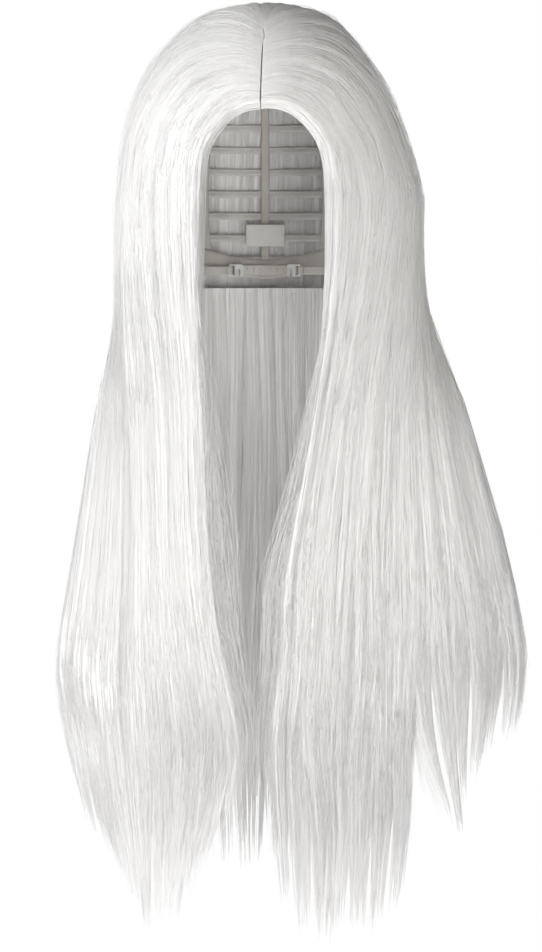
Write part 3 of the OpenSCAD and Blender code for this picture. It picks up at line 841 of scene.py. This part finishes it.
def strap_cloth(side):
    """Elastic adjuster strap with its end folded round the hook."""
    run = np.radians(32) * (1 - np.linspace(0, 1, 60))
    along = STRAP_RADIUS * np.stack([-np.sin(run), np.cos(run) - 1], -1)
    fold = np.radians(np.arange(20, 291, 8))
    fold = 1.7 * np.stack([np.sin(fold), np.cos(fold) - 1], -1)
    local = np.concatenate([along, fold]) * [-1, 1] + [0, STRAP_RADIUS]
    c, w = math.cos(math.radians(30)), math.sin(math.radians(30))
    plan = np.stack([local[:, 0] * c + local[:, 1] * w,
                     -local[:, 0] * w + local[:, 1] * c + NAPE_AXIS_Y], -1)
    band, line, normal, s = flat_band(plan, 6.0, 0.8)
    parts = [band]
    marks = np.arange(2, 26, 2.6)
    for dz in (-1.9, 1.9):
        f = np.linspace(0, 1.8, 4)
        at = marks[:, None] + f
        xy = np.stack([np.interp(at, s, line[:, k]) - 0.45 * np.interp(at, s, normal[:, k])
                       for k in (0, 1)], -1)
        path = np.insert(xy, 2, STRAP_Z + dz, -1)
        nn = np.stack([np.interp(at, s, normal[:, 0]), np.interp(at, s, normal[:, 1]), 0 * at], -1)
        parts.append(thread(path, nn, 0.16))
    return mirrored(parts, side)


def loop_band():
    """Tape inside the nape that carries the hook loops."""
    a = np.radians(np.linspace(-24, 24, 120))
    plan = np.stack([LOOP_RADIUS * np.sin(a), NAPE_AXIS_Y + LOOP_RADIUS * np.cos(a)], -1)
    band, line, _, s = flat_band(plan, 8.0, 0.8, 1.2)
    parts = [band]
    marks = np.arange(1, s[-1] - 2.4, 2.8)
    for dz in (-3.3, 3.3):
        at = marks[:, None] + np.linspace(0, 1.9, 4)
        inner = np.stack([np.interp(at, s, line[:, k]) for k in (0, 1)], -1)
        to_axis = unit(np.array([0, NAPE_AXIS_Y]) - inner)
        xy = inner + to_axis * 0.42
        path = np.insert(xy, 2, STRAP_Z + dz, -1)
        parts.append(thread(path, np.concatenate([to_axis, 0 * at[..., None]], -1), 0.16))
    return parts


def label_cloth():
    """Blank cloth label, slightly wavy, sewn down at both sides."""
    low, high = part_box("size_label")
    x = np.linspace(low[0], high[0], 57) / MM
    z = np.linspace(low[2], high[2], 25) / MM
    xx, zz = np.meshgrid(x, z, indexing="ij")
    tx = (xx - x.mean()) / (x[-1] - x[0]) * 2
    tz = (zz - z.mean()) / (z[-1] - z[0]) * 2
    y = (low[1] + high[1]) / 2 / MM + 0.3 * np.cos(tx * 4.1) * 0.4 + 0.25 * tz * tx
    half = 0.17 * edge_round(tx) * edge_round(tz) + 0.03
    outer, inner = np.stack([xx, y + half, zz], -1), np.stack([xx, y - half, zz], -1)
    parts = [slab(inner, outer, xx, zz)]
    marks = np.arange(z[0] + 1.2, z[-1] - 1.5, 2.2)
    for edge in (-0.9, 0.9):
        xs = x.mean() + edge * (x[-1] - x[0]) / 2
        zt = marks[:, None] + np.linspace(0, 1.5, 4)
        yy = (low[1] + high[1]) / 2 / MM - 0.34 + 0.12 * np.cos(edge * 4.1) + 0 * zt
        path = np.stack([xs + 0 * zt, yy, zt], -1)
        nn = np.zeros(path.shape)
        nn[..., 1] = -1
        parts.append(thread(path, nn, 0.17))
    return parts


# ---- Materials ----
def node_material(name, color, rough, spec=0.5):
    mat = bpy.data.materials.new(name)
    mat.use_nodes = True
    nt = mat.node_tree
    bsdf = nt.nodes["Principled BSDF"]
    bsdf.inputs["Base Color"].default_value = (*color, 1)
    bsdf.inputs["Roughness"].default_value = rough
    bsdf.inputs["Specular IOR Level"].default_value = spec
    return mat, nt, bsdf


def add(nt, kind, **props):
    node = nt.nodes.new(kind)
    for key, value in props.items():
        setattr(node, key, value)
    return node


def ramp(nt, source, stops):
    node = nt.nodes.new("ShaderNodeValToRGB")
    elements = node.color_ramp.elements
    while len(elements) < len(stops):
        elements.new(0.5)
    for e, (pos, color) in zip(elements, stops):
        e.position = pos
        e.color = (*color, 1)
    nt.links.new(source, node.inputs["Fac"])
    return node


def stretched(nt, source, factors):
    """The coordinates of source, multiplied by factors."""
    node = add(nt, "ShaderNodeVectorMath", operation="MULTIPLY")
    node.inputs[1].default_value = factors
    nt.links.new(source, node.inputs[0])
    return node.outputs[0]


def noise(nt, vector, scale, detail=2.0):
    node = add(nt, "ShaderNodeTexNoise", noise_dimensions="3D")
    node.inputs["Scale"].default_value = scale
    node.inputs["Detail"].default_value = detail
    nt.links.new(vector, node.inputs["Vector"])
    return node.outputs["Fac"]


def relief(nt, bsdf, height, strength, distance):
    node = add(nt, "ShaderNodeBump")
    node.inputs["Strength"].default_value = strength
    node.inputs["Distance"].default_value = distance
    nt.links.new(height, node.inputs["Height"])
    nt.links.new(node.outputs["Normal"], bsdf.inputs["Normal"])


def color_and_gloss(nt, bsdf, shade_source, shade_stops, gloss_source, gloss_stops):
    """Ramps into the base colour and the roughness; a gloss stop is (position, roughness)."""
    shade = ramp(nt, shade_source, shade_stops)
    nt.links.new(shade.outputs["Color"], bsdf.inputs["Base Color"])
    gloss = ramp(nt, gloss_source, [(at, (value,) * 3) for at, value in gloss_stops])
    nt.links.new(gloss.outputs["Color"], bsdf.inputs["Roughness"])


def hair_material():
    """Cool white synthetic fibre: streaks along the fibre in colour, gloss and relief."""
    mat, nt, bsdf = node_material("hair_fibre", (0.9, 0.9, 0.9), 0.38, 0.5)
    fibre = add(nt, "ShaderNodeAttribute", attribute_name="fibre").outputs["Vector"]
    streak = noise(nt, stretched(nt, fibre, (37.0, 1.3, 9.0)), 1.0, 3.0)
    color_and_gloss(nt, bsdf, streak, [(0.3, (0.80, 0.80, 0.80)), (0.5, (0.90, 0.90, 0.895)),
                                       (0.72, (0.96, 0.96, 0.965))],
                    streak, [(0.3, 0.5), (0.7, 0.3)])
    relief(nt, bsdf, noise(nt, stretched(nt, fibre, (91.0, 4.5, 14.0)), 1.0), 0.35, 0.0003)
    bsdf.inputs["Sheen Weight"].default_value = 0.15
    bsdf.inputs["Sheen Roughness"].default_value = 0.4
    return mat


def cloth_material(name, light, dark, scale, rough=0.85, bump=0.4):
    """Woven cloth: crossed threads in relief and a slow change of tone."""
    mat, nt, bsdf = node_material(name, light, rough, 0.25)
    fibre = add(nt, "ShaderNodeAttribute", attribute_name="fibre").outputs["Vector"]
    threads = stretched(nt, fibre, (scale, scale, 1))
    weave = add(nt, "ShaderNodeMath", operation="MULTIPLY")
    for socket, direction in enumerate("XY"):
        wave = add(nt, "ShaderNodeTexWave", wave_type="BANDS", bands_direction=direction)
        wave.inputs["Scale"].default_value = 1.0
        wave.inputs["Distortion"].default_value = 0.6
        nt.links.new(threads, wave.inputs["Vector"])
        nt.links.new(wave.outputs["Fac"], weave.inputs[socket])
    cloud = noise(nt, add(nt, "ShaderNodeTexCoord").outputs["Object"], 60.0)
    tone = add(nt, "ShaderNodeMath", operation="MULTIPLY_ADD")
    nt.links.new(cloud, tone.inputs[0])
    tone.inputs[1].default_value = 0.5
    nt.links.new(weave.outputs[0], tone.inputs[2])
    color_and_gloss(nt, bsdf, tone.outputs[0], [(0.15, dark), (0.75, light)],
                    cloud, [(0.3, rough), (0.7, rough - 0.12)])
    relief(nt, bsdf, weave.outputs[0], bump, 0.0002)
    bsdf.inputs["Sheen Weight"].default_value = 0.2
    return mat


def plastic_material(name, light, dark, rough=0.3):
    """Moulded plastic: faint flow marks and a fine mould grain."""
    mat, nt, bsdf = node_material(name, light, rough, 0.5)
    place = add(nt, "ShaderNodeTexCoord").outputs["Object"]
    flow = noise(nt, place, 180.0, 4.0)
    color_and_gloss(nt, bsdf, flow, [(0.35, dark), (0.65, light)],
                    flow, [(0.3, rough + 0.12), (0.7, rough)])
    relief(nt, bsdf, noise(nt, place, 2500.0), 0.15, 0.0001)
    return mat


# ---- Camera, lights and floor ----
CAMERA_DISTANCE, CAMERA_HEIGHT = 3.0, -0.04
VIEW_HEIGHT, SENSOR_HEIGHT = 671.16 * MM, 24
VIEW_CENTRE = Vector((0.0042, -0.03, -0.198))


def camera():
    data = bpy.data.cameras.new("camera")
    ob = bpy.data.objects.new("camera", data)
    bpy.context.scene.collection.objects.link(ob)
    ob.location = (VIEW_CENTRE.x, VIEW_CENTRE.y - CAMERA_DISTANCE, CAMERA_HEIGHT)
    ob.rotation_euler = (VIEW_CENTRE - ob.location).to_track_quat("-Z", "Y").to_euler()
    data.sensor_fit = "VERTICAL"
    data.sensor_height = SENSOR_HEIGHT
    data.lens = SENSOR_HEIGHT * CAMERA_DISTANCE / VIEW_HEIGHT
    data.clip_end = 50
    bpy.context.scene.camera = ob


def area_light(name, location, target, size, power, color):
    data = bpy.data.lights.new(name, "AREA")
    data.shape = "DISK"
    data.size = size
    data.energy = power
    data.color = color
    ob = bpy.data.objects.new(name, data)
    bpy.context.scene.collection.objects.link(ob)
    ob.location = location
    ob.rotation_euler = (Vector(target) - Vector(location)).to_track_quat("-Z", "Y").to_euler()
    ob.visible_camera = False


WHITE, WARM = (1, 1, 1), (1.0, 0.98, 0.955)
# Name, place, target, width in metres, watts, colour
LIGHTS = [("key", (-1.6, -2.5, 0.0), (0, 0, -0.2), 1.2, 25, WHITE),
          ("fill", (0.4, -3.2, -0.7), (0, 0, -0.3), 1.5, 40, WARM),
          ("high", (-1.0, -2.6, 1.2), (0, 0, -0.2), 1.2, 14, WHITE),
          ("upper_side", (-1.9, -0.35, 0.6), (-0.1, 0, -0.05), 0.8, 17, WHITE),
          ("rear", (-0.5, 3.0, -0.3), (0, 0.1, -0.25), 1.6, 52, WHITE),
          ("floor_wash", (0, 0, -0.9), (0, 0, -1.6), 9.0, 115, WHITE)]
AMBIENT_COLOR, AMBIENT_STRENGTH = (1.0, 0.965, 0.91), 0.19
FLOOR_RADIUS, FLOOR_Z, FLOOR_POINTS = 3600, -1600, 128


def studio():
    """Soft lights, a white backdrop that only the camera sees, and a wide pale floor."""
    scene = bpy.context.scene
    scene.view_settings.view_transform = "Standard"
    for light in LIGHTS:
        area_light(*light)
    world = bpy.data.worlds.new("studio")
    scene.world = world
    world.use_nodes = True
    nt = world.node_tree
    backdrop = nt.nodes["Background"]
    backdrop.inputs["Color"].default_value = (1, 1, 1, 1)
    backdrop.inputs["Strength"].default_value = 1.0
    ambient = add(nt, "ShaderNodeBackground")
    ambient.inputs["Color"].default_value = (*AMBIENT_COLOR, 1)
    ambient.inputs["Strength"].default_value = AMBIENT_STRENGTH
    path = add(nt, "ShaderNodeLightPath")
    pick = add(nt, "ShaderNodeMixShader")
    nt.links.new(path.outputs["Is Camera Ray"], pick.inputs["Fac"])
    nt.links.new(ambient.outputs[0], pick.inputs[1])
    nt.links.new(backdrop.outputs[0], pick.inputs[2])
    nt.links.new(pick.outputs[0], nt.nodes["World Output"].inputs["Surface"])
    mat, _, _ = node_material("floor", (0.9, 0.9, 0.9), 0.8, 0.2)
    a = np.linspace(0, 2 * math.pi, FLOOR_POINTS, endpoint=False)
    points = np.stack([FLOOR_RADIUS * np.cos(a), FLOOR_RADIUS * np.sin(a),
                       np.full(FLOOR_POINTS, FLOOR_Z)], -1)
    tris = [(0, k, k + 1) for k in range(1, FLOOR_POINTS - 1)]
    floor = make_mesh("floor", points, np.zeros((0, 4)), tris)
    floor.data.materials.append(mat)


camera()
studio()

# ---- Hair ----
hair = hair_material()
FRONT_EDGES = [0, 0.045, 0.12, 0.21, 0.29, 0.38, 0.455, 0.528, 0.60, 0.68, 0.76, 0.84, 0.92, 1.0]
BACK_EDGES = np.linspace(0, 1, 15)


def joined_mesh(name, parts, mat):
    ob = make_mesh(name, *join(parts))
    ob.data.materials.append(mat)
    return ob


def hair_piece(name, parts, side, *nodes):
    """A piece of a fall as one fixed mesh, which hides the CAD nodes it takes the place of."""
    ob = joined_mesh(name, parts, hair)
    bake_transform(ob)
    if nodes:
        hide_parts(*nodes)


def front_hair(side):
    name = "left" if side > 0 else "right"
    panel = Panel(side)
    locks = Locks(panel, FRONT_EDGES, 40 + side)
    inner, outer = list(range(0, 7)), list(range(7, 13))
    hair_piece(f"front_lock_{name}_body", [lock_bodies(locks, inner)], side,
               f"front_lock_{name}", f"top_hair_{name}")
    hair_piece(f"side_lock_{name}_body", [lock_bodies(locks, outer)], side, f"side_lock_{name}")
    for i, group in enumerate(([0, 1, 2], [3, 4], [5, 6], [7, 8], [9, 10], [11, 12])):
        hair_piece(f"curtain_{name}_strands_{i + 1}",
                   [lock_strands(locks, group, 520, 100 * (i + 1) + side)], side)
    reach, span = (24, (-190, -420)) if side < 0 else (20, (-190, -440))
    hair_piece(f"curtain_{name}_strays",
               [loose_strands(panel, 150, 900 + side), inner_wisps(panel, 90, 950 + side, reach, span),
                inner_wisps(panel, 260, 970 + side, 6, (-70, -430))], side)


def back_hair():
    panel = Panel(0)
    locks = Locks(panel, BACK_EDGES, 60)
    hair_piece("back_fall_body", [lock_bodies(locks, list(range(locks.n)))], 0,
               "back_fall", "crown_hair")
    for i in range(4):
        group = [k for k in range(locks.n) if k * 4 // locks.n == i]
        hair_piece(f"back_strands_{i + 1}", [lock_strands(locks, group, 330, 700 + i)], 0)
    hair_piece("back_strays", [loose_strands(panel, 120, 990)], 0)


def nape_hair():
    panel = NapePanel()
    locks = Locks(panel, np.linspace(0, 1, 10), 77)
    every = list(range(locks.n))
    for name, parts in (("nape_hair_body", [lock_bodies(locks, every)]),
                        ("nape_hair_strands", [lock_strands(locks, every, 170, 790)])):
        ob = joined_mesh(name, parts, hair)
        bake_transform(ob)
        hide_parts("nape_hair")


def cloth_piece(name, parts, mat, node, body="cap"):
    """A cloth piece in place of a CAD node."""
    ob = joined_mesh(name, parts, mat)
    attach(ob, body)
    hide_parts(node)
    return ob


def repaint(node, mat):
    """Gives a CAD mesh that stays its own material."""
    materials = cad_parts[node].data.materials
    materials.clear()
    materials.append(mat)


def cap_pieces():
    tape = cloth_material("cap_tape", (0.82, 0.80, 0.77), (0.52, 0.49, 0.45), 2.4)
    weft = cloth_material("weft_tape", (0.88, 0.87, 0.86), (0.60, 0.59, 0.57), 3.0)
    net = cloth_material("cap_net", (0.74, 0.66, 0.57), (0.50, 0.43, 0.35), 5.0)
    skin = cloth_material("part_skin", (0.62, 0.44, 0.36), (0.46, 0.30, 0.24), 1.2, 0.6, 0.2)
    label = cloth_material("label_cloth", (0.93, 0.93, 0.92), (0.74, 0.74, 0.73), 4.0)
    threads = cloth_material("loop_thread", (0.9, 0.9, 0.89), (0.66, 0.65, 0.63), 6.0)
    hook = plastic_material("hook_plastic", (0.80, 0.81, 0.80), (0.66, 0.67, 0.67))
    stay = plastic_material("stay_plastic", (0.70, 0.71, 0.71), (0.56, 0.57, 0.57), 0.38)

    crown = cloth_piece("crown_net_mesh", net_threads(), net, "crown_net")
    band = cloth_piece("front_band_tape", hem_tape(-64, 64, 12, 420), tape, "front_band")
    band = cloth_piece("nape_band_elastic", hem_tape(92, 268, 14, 760), tape, "nape_band")
    for node, az, side in (("rib_center", 180, 1), ("rib_back_left", 146, 1),
                           ("rib_back_right", 146, -1), ("rib_side_left", 112, 1),
                           ("rib_side_right", 112, -1)):
        cloth_piece(node + "_elastic", rib_tape(az, side), tape, node)
    for row in range(1, 9):
        cloth_piece(f"weft_row_{row}_sewn", weft_tape(row), weft, f"weft_row_{row}")
    strip = cloth_piece("part_strip_skin", part_ribbon(14, (1.5, 2.2), 0.06), skin,
                        "part_strip")
    lining = cloth_piece("part_lining_cloth", part_ribbon(18, (-2.0, -1.4), 0.05), net,
                         "part_lining")
    tag = cloth_piece("size_label_cloth", label_cloth(), label, "size_label")
    cloth_piece("loop_tape_band", loop_band(), tape, "loop_tape")
    for side, name in ((1, "left"), (-1, "right")):
        tab = cloth_piece(f"ear_tab_{name}_cloth", tab_cloth(side), tape,
                          f"ear_tab_{name}", f"{name}_tab")
        cloth_piece(f"strap_{name}_elastic", strap_cloth(side), tape,
                    f"strap_{name}", f"{name}_adjuster")
        repaint(f"hook_{name}", hook)
        repaint(f"ear_stay_{name}", stay)
    repaint("tape_loops", threads)


front_hair(1)
front_hair(-1)
back_hair()
nape_hair()
cap_pieces()
